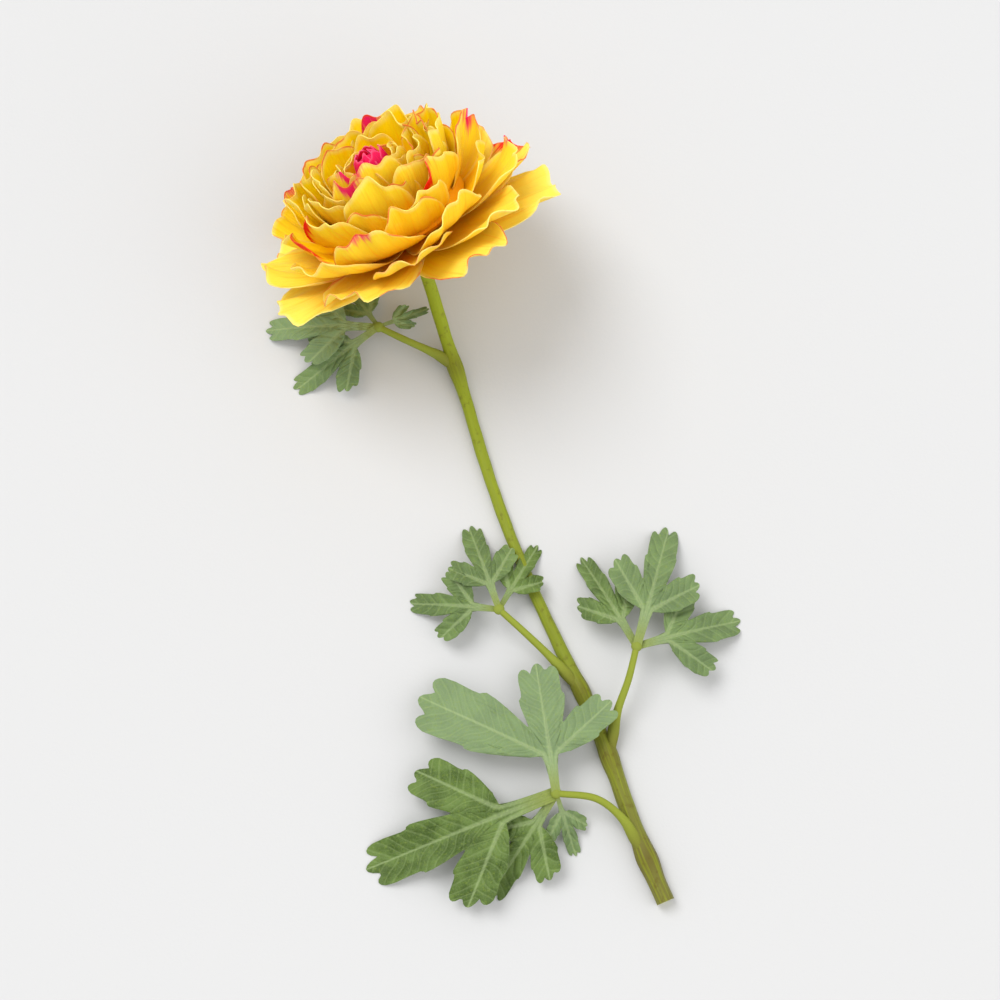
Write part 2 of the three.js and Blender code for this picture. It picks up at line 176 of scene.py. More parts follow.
def coated(tree: Tree, base: str, *coats: tuple[str, str | Socket, float, *tuple[float, ...]]) -> Socket:
    """Lays thin coats of colour one over the other.

    Args:
        tree: The material's node tree.
        base: The colour under them all.
        *coats: Each coat's colour, its pattern, its strength where it is full, and the pattern's
            values where it starts and where it is full. Without those two it follows the pattern
            from 0 to 1. A pattern is a socket or the name of a mark.

    Returns:
        The colour that is seen.
    """
    colour = linear(base)
    for shade, pattern, strength, *span in coats:
        if isinstance(pattern, str):
            pattern = add(tree, "Attribute", output=2, attribute_name=pattern)
        start, full = span or (0.0, 1.0)
        ends = {0: pattern, 1: start, 2: full, 4: strength}
        share = add(tree, "MapRange", ends, **(SMOOTH if span else {}))
        layers = {0: share, 6: colour, 7: linear(shade)}
        colour = add(tree, "Mix", layers, 2, data_type="RGBA")
    return colour


def streaked(
    tree: Tree, place: Socket, scale: Triple, detail: float, start: Socket | Triple = (0.0, 0.0, 0.0)
) -> Socket:
    """A soft pattern that is drawn out into streaks.

    Args:
        tree: The material's node tree.
        place: The coordinates that it is drawn on.
        scale: How often it varies along each of them. The streaks run where that is least.
        detail: How many finer layers it has.
        start: Where in the pattern the surface starts.

    Returns:
        The pattern, about 0 to 1.
    """
    drawn_out = add(tree, "Mapping", {"Vector": place, "Location": start, "Scale": scale})
    return add(tree, "TexNoise", {"Vector": drawn_out, "Scale": 1.0, "Detail": detail})


def patches(tree: Tree, *sizes: Pair) -> list[Socket]:
    """Soft round patches in the piece's own space, one pattern for each size.

    Args:
        tree: The material's node tree.
        *sizes: The patches' width in millimetres and how many finer layers they have.

    Returns:
        The patterns, about 0 to 1.
    """
    place = add(tree, "TexCoord", output=3)
    return [
        add(tree, "TexNoise", {"Vector": place, "Scale": 1 / (mm * METRES), "Detail": detail})
        for mm, detail in sizes
    ]


@dataclass(frozen=True)
class Skin:
    """What every plant surface here shares: a thin moist skin over flesh that lets light in."""

    name: str = "plant_skin"
    roughness: Pair = (0.45, 0.65)
    gloss: float = 0.22
    refraction: float = 1.42
    glow: float = 0.2
    glow_depth_mm: float = 1.5
    glow_colour: Triple = (1.0, 0.7, 0.15)
    relief_mm: float = 0.2

    def draw(self, tree: Tree) -> tuple[Socket, Socket]:
        """The colour and the small relief of the surface, which each finish draws for itself."""
        raise NotImplementedError

    def material(self) -> Material:
        """The finished material, a little glossier in its raised places."""
        material = bpy.data.materials.new(self.name)
        material.use_nodes = True
        tree = material.node_tree
        tree.nodes.clear()
        colour, relief = self.draw(tree)
        smooth, rough = self.roughness
        polish = {0: relief, 1: 0.2, 2: 0.9, 3: rough, 4: smooth}
        height = {"Distance": self.relief_mm * METRES, "Height": relief}
        sockets = {
            "Base Color": colour,
            "Roughness": add(tree, "MapRange", polish),
            "IOR": self.refraction,
            "Specular IOR Level": self.gloss,
            "Subsurface Weight": self.glow,
            "Subsurface Radius": self.glow_colour,
            "Subsurface Scale": self.glow_depth_mm * METRES,
            "Normal": add(tree, "Bump", height),
        }
        shader = add(tree, "BsdfPrincipled", sockets)
        add(tree, "OutputMaterial", {"Surface": shader})
        return material


@dataclass(frozen=True)
class PetalFinish(Skin):
    """Grown petal tissue: matte golden yellow, with painted orange shade in the depth of the bloom, veined
    lengthwise.
    """

    # Petals grow as a few layers of domed cells with air between them. To the eye that is a soft,
    # nearly matte skin that never mirrors, glows where light comes through and is streaked by veins.

    name: str = "petal_tissue"
    glow: float = 0.25
    relief_mm: float = 0.22
    # deep is painted orange shade at the petals' feet and between them, and also the veins' own colour.
    deep: str = "#FF9A00"
    middle: str = "#FFD000"
    bright: str = "#FFE200"
    pale: str = "#FFE062"
    rim: str = "#FFEFA6"
    back: str = "#F8CE3A"
    edge_line: str = "#DD4E1A"
    pink: str = "#F2206A"
    red: str = "#E6240E"
    veins: Triple = (34.0, 2.0, 1.0)
    mottle_mm: float = 6.0
    cell_mm: float = 0.45  # the real cells are 0.03 mm, too fine to show
    line_mm: float = 9.0

    def draw(self, tree: Tree) -> tuple[Socket, Socket]:
        """Gold over the painted orange shade at the petals' feet, then rims, veins and patches, then the
        coloured tips and edges.
        """
        own, rim, lined, pink, red = (
            add(tree, "Attribute", output=2, attribute_name=mark)
            for mark in ("tone", "rim", "lined", "pink", "red")
        )
        grid = add(tree, "UVMap", uv_map="blade")
        veins = streaked(tree, grid, self.veins, 3.0, own)
        sizes = ((self.mottle_mm, 2.0), (self.cell_mm, 1.0), (self.line_mm, 0.0))
        mottle, cells, coming = patches(tree, *sizes)

        # The pink and red tips bleed inwards along the veins.
        ragged = add(tree, "Math", {0: veins, 1: 1.1, 2: -0.55}, operation="MULTIPLY_ADD")
        pink, red = (
            add(tree, "Math", {0: mark, 1: ragged}, operation="ADD") for mark in (pink, red)
        )

        # The thin orange-red line along the rim comes and goes.
        coming = add(tree, "MapRange", {0: coming, 1: 0.36, 2: 0.56}, **SMOOTH)
        line = add(tree, "MapRange", {0: rim, 1: 0.9, 2: 0.1, 4: 0.85}, **SMOOTH)
        for share in (coming, lined):
            line = add(tree, "Math", {0: line, 1: share}, operation="MULTIPLY")

        colour = coated(
            tree,
            self.deep,
            # Gold covers the petals except at their feet, where the painted orange shade of the bloom's
            # depth stays.
            (self.middle, "gold", 1.0),
            (self.bright, "bright", 1.0),
            (self.pale, "pale", 1.0),
            (self.back, "back", 0.5),
            (self.rim, rim, 0.4, 2.5, 0.2),
            (self.deep, veins, 0.42, 0.5, 0.78),
            (self.pale, mottle, 0.18, 0.5, 0.75),
            (self.pink, pink, 1.0, 0.2, 0.8),
            (self.red, red, 1.0, 0.2, 0.8),
            (self.edge_line, line, 1.0),
        )
        relief = add(tree, "Math", {0: cells, 1: 0.25, 2: veins}, operation="MULTIPLY_ADD")
        return colour, relief


@dataclass(frozen=True)
class HeartFinish(Skin):
    """Young petal tissue, still wrapped tight: deep pink, darker in the folds, orange at its foot."""

    # Young petals grow pressed together, so they are thicker and denser in colour than open ones,
    # with less light in them and a thin paler rim where two of them meet.

    name: str = "young_petal_tissue"
    glow: float = 0.15
    relief_mm: float = 0.15
    foot: str = "#F5860C"
    deep: str = "#B0053A"
    pink: str = "#F2145C"
    light: str = "#FF6B94"
    veins: Triple = (22.0, 2.0, 1.0)

    def draw(self, tree: Tree) -> tuple[Socket, Socket]:
        """Pink over the orange foot, then darker veins and lighter rims."""
        veins = streaked(tree, add(tree, "UVMap", uv_map="blade"), self.veins, 3.0)
        colour = coated(
            tree,
            self.foot,
            (self.pink, "along", 1.0, 0.2, 0.55),
            (self.deep, veins, 0.7, 0.5, 0.8),
            (self.light, "rim", 0.6, 0.9, 0.1),
        )
        return colour, veins


@dataclass(frozen=True)
class SepalFinish(Skin):
    """Grown sepal skin: yellow-green, with thin pale margins and faint long veins."""

    # A sepal grows thick in its middle and as thin as film at its edge, which gives the eye a dull
    # green blade in a pale, nearly see-through margin.

    name: str = "sepal_skin"
    glow: float = 0.1
    green: str = "#A3A83C"
    dark: str = "#6F7B24"
    margin: str = "#E6DB86"
    veins: Triple = (16.0, 1.5, 1.0)
    mottle_mm: float = 3.0

    def draw(self, tree: Tree) -> tuple[Socket, Socket]:
        """Darker veins on the green, then light patches and the pale margin."""
        veins = streaked(tree, add(tree, "UVMap", uv_map="blade"), self.veins, 2.0)
        (mottle,) = patches(tree, (self.mottle_mm, 3.0))
        colour = coated(
            tree,
            self.green,
            (self.dark, veins, 1.0, 0.35, 0.7),
            (self.margin, mottle, 0.3, 0.45, 0.75),
            (self.margin, "rim", 0.85, 1.6, 0.2),
        )
        return colour, veins


@dataclass(frozen=True)
class StemFinish(Skin):
    """Grown stem skin: satin olive green in fine long ribs with painted sheen streaks, browner and
    speckled at the joints.
    """

    # The skin grows tight over long fibres, so it shines in fine streaks along the stem, and that sheen
    # is painted as lighter streaks. It corks a little with age, which shows as brown flecks, most of all
    # low down and where leaves part.

    name: str = "stem_skin"
    roughness: Pair = (0.35, 0.55)
    glow: float = 0.08
    glow_colour: Triple = GREEN_GLOW
    relief_mm: float = 0.3
    # light is the stem's own green near the head, and also the colour of the painted sheen streaks.
    light: str = "#93A01E"
    middle: str = "#7E8828"
    base: str = "#6F6C30"
    joint: str = "#5A4A16"
    pith: str = "#D6D6A4"
    streaks: Triple = (4.0, 4.0, 9.0)
    mottle_mm: float = 2.5

    def draw(self, tree: Tree) -> tuple[Socket, Socket]:
        """Browner towards the foot and the joints, with painted sheen in lighter lengthwise streaks,
        flecked, pale at the cut.
        """
        east, north, along = (
            add(tree, "Attribute", output=2, attribute_name=mark)
            for mark in ("east", "north", "along")
        )
        wrapped = add(tree, "CombineXYZ", {0: east, 1: north, 2: along})
        streaks = streaked(tree, wrapped, self.streaks, 4.0)
        (mottle,) = patches(tree, (self.mottle_mm, 4.0))
        colour = coated(
            tree,
            self.light,
            (self.middle, along, 1.0, 0.0, 0.55),
            (self.base, along, 1.0, 0.6, 1.0),
            (self.joint, "joint", 0.45),
            # Painted sheen: lighter streaks along the fibres.
            (self.light, streaks, 0.5, 0.45, 0.7),
            (self.joint, mottle, 0.4, 0.56, 0.7),
            (self.pith, "cut", 1.0, 0.2, 0.8),
        )
        relief = add(tree, "Math", {0: mottle, 1: 0.3, 2: streaks}, operation="MULTIPLY_ADD")
        return colour, relief


@dataclass(frozen=True)
class LeafFinish(Skin):
    """Grown leaf skin: soft grey green, quilted between a pale rib and the side veins of each lobe."""

    # Leaf skin grows under a thin film of wax, which makes it matte and greyish, and is held down
    # by the veins, which makes it quilted. The underside has more air in it and looks paler.

    name: str = "leaf_skin"
    roughness: Pair = (0.45, 0.7)
    glow: float = 0.08
    glow_colour: Triple = GREEN_GLOW
    relief_mm: float = 0.18
    deep: str = "#435820"
    green: str = "#607738"
    blue: str = "#849A72"
    fresh: str = "#7F9234"
    vein: str = "#A5B782"
    back: str = "#909F7A"
    sheath: str = "#73722A"
    stalk: str = "#8A9434"
    rib_mm: float = 0.55
    net_mm: float = 1.3
    mottle_mm: float = 9.0
    grain_mm: float = 0.9

    def draw(self, tree: Tree) -> tuple[Socket, Socket]:
        """Patches and grain, then the net, the side veins and the ribs, then back and stalk."""
        from_rib, past_vein, taper = (
            add(tree, "Attribute", output=2, attribute_name=mark)
            for mark in ("from_rib", "past_vein", "taper")
        )
        halfway = {0: past_vein, 1: 0.5 * VEIN_SPACING}
        from_vein = add(tree, "Math", halfway, operation="PINGPONG")
        from_rib = add(tree, "Math", {0: from_rib, 1: taper}, operation="DIVIDE")
        mottle, grain = patches(tree, (self.mottle_mm, 4.0), (self.grain_mm, 3.0))
        place = add(tree, "TexCoord", output=3)
        cells = {"Vector": place, "Scale": 1 / (self.net_mm * METRES)}
        net = add(tree, "TexVoronoi", cells, feature="DISTANCE_TO_EDGE")
        net = add(tree, "MapRange", {0: net, 1: 0.12, 2: 0.0}, **SMOOTH)
        colour = coated(
            tree,
            self.deep,
            (self.green, mottle, 1.0, 0.36, 0.64),
            (self.blue, "tone", 0.65),
            (self.fresh, grain, 0.4, 0.52, 0.75),
            (self.vein, net, 0.08),
            (self.vein, from_vein, 0.14, 0.7, 0.1),
            (self.vein, from_rib, 0.4, 2.2 * self.rib_mm, 0.4 * self.rib_mm),
            (self.back, "back", 0.6),
            (self.stalk, "stalk", 1.0),
            (self.sheath, "sheath", 0.9),
        )

        # The blade swells between the side veins, with grain on it, and sinks along the net.
        swelling = {0: from_vein, 1: 0.0, 2: 0.4 * VEIN_SPACING}
        relief = add(tree, "MapRange", swelling, **SMOOTH)
        for pattern, share in ((grain, 0.35), (net, -0.2)):
            raised = {0: pattern, 1: share, 2: relief}
            relief = add(tree, "Math", raised, operation="MULTIPLY_ADD")
        return colour, relief


# ---- meshes ----


class Piece:
    """One mesh being drawn, in layout millimetres, with a UV grid and named marks at its points."""

    sharp = radians(50.0)  # an edge that turns more than this is seen as an edge

    def __init__(self, name: str, *marks: str) -> None:
        """Starts an empty mesh.

        Args:
            name: The piece's name in the scene.
            *marks: The names of the numbers that each point carries for the material.
        """
        self.name = name
        self.bm = bmesh.new()
        self.bm.loops.layers.uv.new("blade")
        self.marks = {mark: self.bm.verts.layers.float.new(mark) for mark in marks}

    def set_marks(self, vertex: bmesh.types.BMVert, values: Values) -> None:
        """Writes the given marks on one point."""
        for name, value in values.items():
            vertex[self.marks[name]] = value

    def sheet(self, columns: int, rows: int, surface: Surface, marks: Marks, thickness: float) -> None:
        """Adds a thin closed blade, with half its thickness on each side of the surface.

        Args:
            columns: Number of faces across.
            rows: Number of faces along.
            surface: Gives a layout point for u in -1..1 across and v in 0..1 along.
            marks: Gives the marks at the same u and v.
            thickness: Thickness in millimetres.
        """
        points = bmesh.ops.create_grid(
            self.bm, x_segments=columns, y_segments=rows, size=1.0, calc_uvs=True
        )["verts"]
        for vertex in points:
            u, v = vertex.co.x, 0.5 + 0.5 * vertex.co.y
            vertex.co = surface(u, v)
            self.set_marks(vertex, marks(u, v))
        front = list({face for vertex in points for face in vertex.link_faces})
        for face in front:
            face.normal_update()
        normals = {}
        for vertex in points:
            vertex.normal_update()
            normals[vertex.co.to_tuple()] = vertex.normal.copy()
        grown = bmesh.ops.extrude_face_region(self.bm, geom=front, use_keep_orig=True)["geom"]
        behind = [item for item in grown if isinstance(item, bmesh.types.BMVert)]
        for vertices, side in ((behind, 0.5), (points, -0.5)):
            for vertex in vertices:
                vertex.co += normals[vertex.co.to_tuple()] * (side * thickness)
        if "back" in self.marks:
            for vertex in behind:
                self.set_marks(vertex, {"back": 1.0})

    def tube(
        self, curve: list[Vector], sides: int, radius: Callable[[float, float], float], marks: Marks
    ) -> bmesh.types.BMFace:
        """Adds a round bar along a curve, by extruding its end face from point to point.

        Args:
            curve: The layout points that it runs through.
            sides: Number of sides.
            radius: Gives the radius for a share of the length and an angle in radians.
            marks: Gives the marks for the same share and angle.

        Returns:
            The end face.
        """
        made = bmesh.ops.create_circle(self.bm, cap_ends=True, segments=sides, radius=1.0)
        cap = made["verts"][0].link_faces[0]
        start = cap.edges[:]
        side = (curve[1] - curve[0]).normalized().orthogonal().normalized()
        last = len(curve) - 1
        for k, middle in enumerate(curve):
            share = k / last
            ahead = (curve[min(k + 1, last)] - curve[max(k - 1, 0)]).normalized()
            side = (side - ahead * side.dot(ahead)).normalized()
            other = ahead.cross(side)
            if k:
                cap = bmesh.ops.extrude_discrete_faces(self.bm, faces=[cap])["faces"][0]
            for number, vertex in enumerate(cap.verts):
                angle = tau * number / sides
                reach = radius(share, angle)
                vertex.co = middle + (side * cos(angle) + other * sin(angle)) * reach
                self.set_marks(vertex, marks(share, angle))
        bmesh.ops.contextual_create(self.bm, geom=start)
        return cap

    def turned_body(
        self,
        profile: Pairs,
        steps: int,
        place: Callable[[float, float, float], Vector],
        marks: Callable[[Vector], Values],
    ) -> None:
        """Spins a profile into a closed round body. It is drawn first, before the piece's sheets.

        Args:
            profile: The distance from the axis and the height of each point, from axis to axis.
            steps: Number of faces round the axis.
            place: Gives the layout point for a point of the spun body.
            marks: Gives the marks for a point of the spun body.
        """
        chain = [self.bm.verts.new((distance, 0.0, height)) for distance, height in profile]
        edges = [self.bm.edges.new(pair) for pair in zip(chain, chain[1:])]
        bmesh.ops.spin(
            self.bm, geom=[*chain, *edges], cent=(0, 0, 0), axis=UP, angle=tau, steps=steps, use_merge=True
        )
        bmesh.ops.remove_doubles(self.bm, verts=self.bm.verts[:], dist=1e-4)
        bmesh.ops.recalc_face_normals(self.bm, faces=self.bm.faces[:])
        for vertex in self.bm.verts:
            self.set_marks(vertex, marks(vertex.co))
            vertex.co = place(*vertex.co)

    def finish(self, material: Material, node: str) -> None:
        """Makes the scene's object from the drawn mesh and hands it to the frame.

        Args:
            material: The piece's material.
            node: The CAD node that the piece stands for.
        """
        for vertex in self.bm.verts:
            vertex.co = (vertex.co - FOOTPRINT_MIDDLE) * METRES
        for face in self.bm.faces:
            face.smooth = True
        self.bm.normal_update()
        for edge in self.bm.edges:
            edge.smooth = edge.calc_face_angle(0.0) < self.sharp
        piece = meshed(self.bm, self.name, material)
        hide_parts(node)
        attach(piece, BODY)
        logger.info("%s: %d faces", self.name, len(piece.data.polygons))


def placed(name: str, data: bpy.types.ID) -> bpy.types.Object:
    """Puts a mesh, a light or a camera into the scene.

    Args:
        name: The object's name.
        data: What it shows.

    Returns:
        The new object, at the origin.
    """
    thing = bpy.data.objects.new(name, data)
    bpy.context.scene.collection.objects.link(thing)
    return thing


def meshed(bm: bmesh.types.BMesh, name: str, material: Material) -> bpy.types.Object:
    """Puts a drawn mesh into the scene.

    Args:
        bm: The drawn mesh, in metres, which is freed.
        name: The object's name.
        material: Its material.

    Returns:
        The new object, with its place in its mesh.
    """
    mesh = bpy.data.meshes.new(name)
    bm.to_mesh(mesh)
    bm.free()
    mesh.materials.append(material)
    return placed(name, mesh)


def smooth_curve(points: list[Vector], steps: int) -> list[Vector]:
    """Points spaced evenly along a centripetal Catmull-Rom curve.

    Args:
        points: The points that the curve passes through.
        steps: Number of spaces between the returned points.

    Returns:
        The points from the first to the last.
    """
    samples = 40
    padded = [2 * points[0] - points[1], *points, 2 * points[-1] - points[-2]]
    dense = []
    for k in range(len(points) - 1):
        near = padded[k : k + 4]
        knots = [0.0]
        for start, end in zip(near, near[1:]):
            knots.append(knots[-1] + sqrt((end - start).length))
        for sample in range(samples):
            t = mix(knots[1], knots[2], sample / samples)
            level = near
            for spans in (((0, 1), (1, 2), (2, 3)), ((0, 2), (1, 3)), ((1, 2),)):
                level = [
                    a * ((knots[j] - t) / (knots[j] - knots[i]))
                    + b * ((t - knots[i]) / (knots[j] - knots[i]))
                    for (i, j), a, b in zip(spans, level, level[1:])
                ]
            dense.append(level[0])
    dense.append(points[-1])
    lengths = [0.0]
    for start, end in zip(dense, dense[1:]):
        lengths.append(lengths[-1] + (end - start).length)
    spaced = []
    k = 0
    for step in range(steps + 1):
        wanted = lengths[-1] * step / steps
        while k < len(lengths) - 2 and lengths[k + 1] < wanted:
            k += 1
        share = (wanted - lengths[k]) / (lengths[k + 1] - lengths[k])
        spaced.append(dense[k].lerp(dense[k + 1], min(1.0, share)))
    return spaced


# ---- the head: bloom, heart and calyx share one tilted frame ----


@dataclass(frozen=True)
class Head:
    """The bloom's own frame: its middle, and the axis that it faces along."""

    middle: Vector = field(default_factory=lambda: Vector((5.0, -12.0, 36.0)))
    tilt: float = radians(48.0)
    lean: float = radians(123.0)

    def point(self, x: float, y: float, z: float) -> Vector:
        """A point of the bloom's frame in the layout's frame."""
        axis = Vector((*spun(sin(self.tilt), 0.0, self.lean), cos(self.tilt)))
        return UP.rotation_difference(axis) @ Vector((x, y, z)) + self.middle


class Tip(Enum):
    """How a petal's rim is coloured: the amounts of pink and red, and their reach inwards."""

    PLAIN = (0.0, 0.0, 0.01)
    PINK = (1.0, 0.0, 0.2)
    BLUSHED = (0.7, 0.0, 0.12)
    RED = (0.25, 1.0, 0.16)


@dataclass
class Bloom:
    """The yellow petals in their layers, on the solid bed that they grow from.

    A pair of sizes is for the innermost and the outermost petal. Tips are given by the petal's
    number and the coloured spot's place across its rim.
    """

    head: Head
    petals: int = 57
    fillers: tuple[tuple[int, float, float], ...] = ((18, 0.26, 0.62), (7, 0.0, 0.09))
    filler_size: Pair = (0.93, 0.85)
    grid: tuple[int, int] = (30, 18)
    thickness: float = 0.35
    crowding: float = 0.82
    uneven: tuple[float, ...] = (0.018, 0.1, 7.0, 0.09, 0.05)  # place, width, turn, roll, length
    flatness: float = 1.35
    widths: Pair = (18.0, 37.0)
    roots: Pair = (0.5, 0.0)
    ruffles: Pair = (0.8, 2.6)
    frills: Pair = (0.5, 1.5)
    frill_wave: float = 10.5
    notch_wave: float = 7.5
    rounding: float = 0.4
    spot_width: float = 0.45
    tips: dict[Tip, dict[int, float]] = field(
        default_factory=lambda: {
            Tip.PINK: {2: -0.4, 7: 0.4, 15: 0.0, 19: 0.4, 37: 0.0, 53: 0.5},
            Tip.BLUSHED: {10: -0.7, 30: 0.1, 36: 0.0, 42: 0.6, 43: -0.3},
            Tip.RED: {26: -0.6, 28: -0.7, 33: 0.5, 50: 0.5},
        }
    )
    profiles: tuple[Pairs, ...] = (
        ((8.8, 14), (9.8, 20), (11, 27), (8.6, 33.5)),
        ((5, 8), (14, 9), (20, 23), (18.5, 36.5)),
        ((5, 5), (20, 3), (30, 17), (31, 33.5)),
        ((6, 2.5), (26, 0), (42, 7), (47.5, 20)),
        ((5, -3.9), (24, -4.6), (43, -5), (60, -3)),
    )
    bed: Pairs = (
        (0, -2.8), (5.5, -2.8), (9, -2.2), (13, -0.8), (18, 1.4), (24, 4.4), (27.5, 7.4),
        (26, 10.5), (20, 15.5), (14, 21.5), (11, 23.5), (8.3, 20), (0, 20),
    )  # fmt: skip
    bed_steps: int = 48

    def build(self, material: Material) -> None:
        """Draws the bed and every petal, and joins them in one piece."""
        names = ("gold", "bright", "pale", "back", "tone", "rim", "pink", "red", "lined")
        piece = Piece("bloom_petals", *names)
        piece.turned_body(self.bed, self.bed_steps, self.head.point, self.bed_marks)
        places = [(k / (self.petals - 1)) ** self.crowding for k in range(self.petals)]
        for count, nearest, farthest in self.fillers:
            places += [mix(nearest, farthest, k / count) for k in range(count)]
        for k, place in enumerate(places):
            piece.sheet(*self.grid, *self.petal(k, place), self.thickness)
        piece.finish(material, "bloom")

    def bed_marks(self, point: Vector) -> Values:
        """The marks of a point of the bed: painted orange shade between the petals, pale and greenish
        below.
        """
        below = ease(point.z, 7.0, 1.0)
        # The top of the bed, among the petals' feet, is half painted orange shade.
        return {"gold": 0.5 + 0.5 * below, "pale": 0.8 * below, "back": below, "rim": 9.0}

    def profile(self, place: float) -> Pairs:
        """The profile of a petal by its place between innermost (0) and outermost (1)."""
        slot = min(place, 0.9999) * (len(self.profiles) - 1)
        return between(self.profiles[int(slot)], self.profiles[int(slot) + 1], slot % 1)

    def petal(self, k: int, place: float) -> tuple[Surface, Marks]:
        """The shape and marks of one petal.

        Args:
            k: The petal's number from the middle outwards.
            place: Its place between innermost (0) and outermost (1).

        Returns:
            The functions that give its surface and its marks.
        """
        shift, wider, turned, roll, longer = (
            most * jitter(k, feature) for feature, most in enumerate(self.uneven, 1)
        )
        lobes, sway, nicks, folds, curls, creases = (
            3 * jitter(k, feature) for feature in (6, 7, 8, 10, 11, 12)
        )
        profile = self.profile(min(1.0, max(0.0, place + shift)))
        width = mix(*self.widths, place) * (1 + wider)
        ruffle = mix(*self.ruffles, place)
        frill = mix(*self.frills, place)
        turn = radians(k * SPIRAL + turned)
        length = mix(0.88, 1.0, ease(k, 2, 10)) + longer
        if k >= self.petals:
            length *= self.filler_size[0]
            width *= self.filler_size[1]
        root = mix(*self.roots, place)
        notches = pi * width / self.notch_wave
        frills = pi * width / self.frill_wave

        def surface(u: float, v: float) -> Vector:
            lobed = 0.03 * sin(6 * u + lobes) + 0.011 * sin(notches * u + nicks)
            rounded = self.rounding * (1 - sqrt(1 - min(1.0, abs(u) ** 3)))
            rim = length * (1 - rounded - lobed)
            reach = mix(root, rim, v)
            distance, height = bezier(profile, reach)
            nearer, lower = bezier(profile, reach - 0.01)
            slope = hypot(distance - nearer, height - lower)
            side = 0.5 * width * u * (0.5 + 0.5 * sin(0.5 * pi * min(1.0, reach / 0.7)))
            curl = self.flatness * distance
            frilled = (reach / rim) ** 4
            wave = ruffle * reach**4 * sin(3.6 * u + sway) + roll * side
            wave += frilled * frill * sin(frills * u + folds)
            wave += 0.35 * frilled**2 * sin(1.9 * frills * u + curls)
            wave += 0.15 * sin(9 * u + 5 * reach + creases)
            out = distance - curl + (curl + wave * (height - lower) / slope) * cos(side / curl)
            across = curl * sin(side / curl)
            up = height - wave * (distance - nearer) / slope
            point = self.head.point(*spun(out, across, turn), up)
            point.z = rested(point.z, 0.5 * self.thickness)
            return point

        found = ((tip, spots[k]) for tip, spots in self.tips.items() if k in spots)
        tip, tip_at = next(found, (Tip.PLAIN, 0.0))
        pink, red, depth = tip.value
        tone = jitter(k, 15)
        lined = ease(jitter(k, 20), -0.6, 0.4)
        span = dist(profile[0], profile[3])

        def marks(u: float, v: float) -> Values:
            along = mix(root, 1.0, v)
            away = hypot((u - tip_at) / self.spot_width, (1 - v) / depth)
            spot = exp(-away * away)
            return {
                # Each petal's foot, deep among the others, keeps painted orange shade; gold takes over
                # towards its rim.
                "gold": ease(along, 0.25, 0.8),
                "bright": mix(0.3 + 0.3 * tone, 1.0, 0.7 * ease(along, 0.7, 1.0)),
                "pale": 0.8 * ease(place, 0.6, 1.0) * ease(along, 0.35, 0.9),
                "tone": tone,
                "rim": min((1 - v) * 1.15 * span * (1 - root), (1 - abs(u)) * 0.5 * width),
                "pink": pink * spot,
                "red": red * spot,
                "lined": lined,
            }

        return surface, marks


@dataclass
class Heart:
    """The closed pink petals at the middle of the bloom."""

    head: Head
    foot: float = 20.3
    height: float = 13.0
    wraps: int = 9
    grid: tuple[int, int] = (20, 16)
    thickness: float = 0.35
    tight: Pairs = ((5.4, 1), (6.3, 4), (6.6, 9), (1.8, 15.4))
    loose: Pairs = ((5.4, 1), (7.1, 4), (7.8, 9), (5.4, 14.4))
    outline: Pairs = ((0, 0), (5.0, 0), (5.9, 3), (5.5, 8.5), (3.4, 11.8), (0, 13.0))
    steps: int = 32

    def build(self, material: Material) -> None:
        """Draws the bud and the petals wrapped round it."""
        piece = Piece("heart_petals", "along", "rim")
        outline = [(distance, self.foot + height) for distance, height in self.outline]
        piece.turned_body(outline, self.steps, self.head.point, self.bud_marks)
        for k in range(self.wraps):
            piece.sheet(*self.grid, *self.wrap(k), self.thickness)
        piece.finish(material, "heart")

    def bud_marks(self, point: Vector) -> Values:
        """The marks of a point of the bud, by its height."""
        return {"along": (point.z - self.foot) / self.height, "rim": 3.0}

    def wrap(self, k: int) -> tuple[Surface, Marks]:
        """The shape and marks of one wrapped petal.

        Args:
            k: The petal's number from the tightest outwards.

        Returns:
            The functions that give its surface and its marks.
        """
        profile = between(self.tight, self.loose, k / (self.wraps - 1))
        turn = radians(k * SPIRAL)

        def surface(u: float, v: float) -> Vector:
            rim = 1 - 0.2 * u * u - 0.03 * sin(5 * u + 2 * k)
            distance, height = bezier(profile, v * rim)
            swirl = distance + 0.55 * u + 0.3 * v**5 * sin(7 * u + k)
            return self.head.point(*spun(swirl, 0.0, turn + 0.72 * u), height + self.foot)

        def marks(u: float, v: float) -> Values:
            return {"along": v, "rim": min((1 - v) * self.height, (1 - abs(u)) * 4.0)}

        return surface, marks


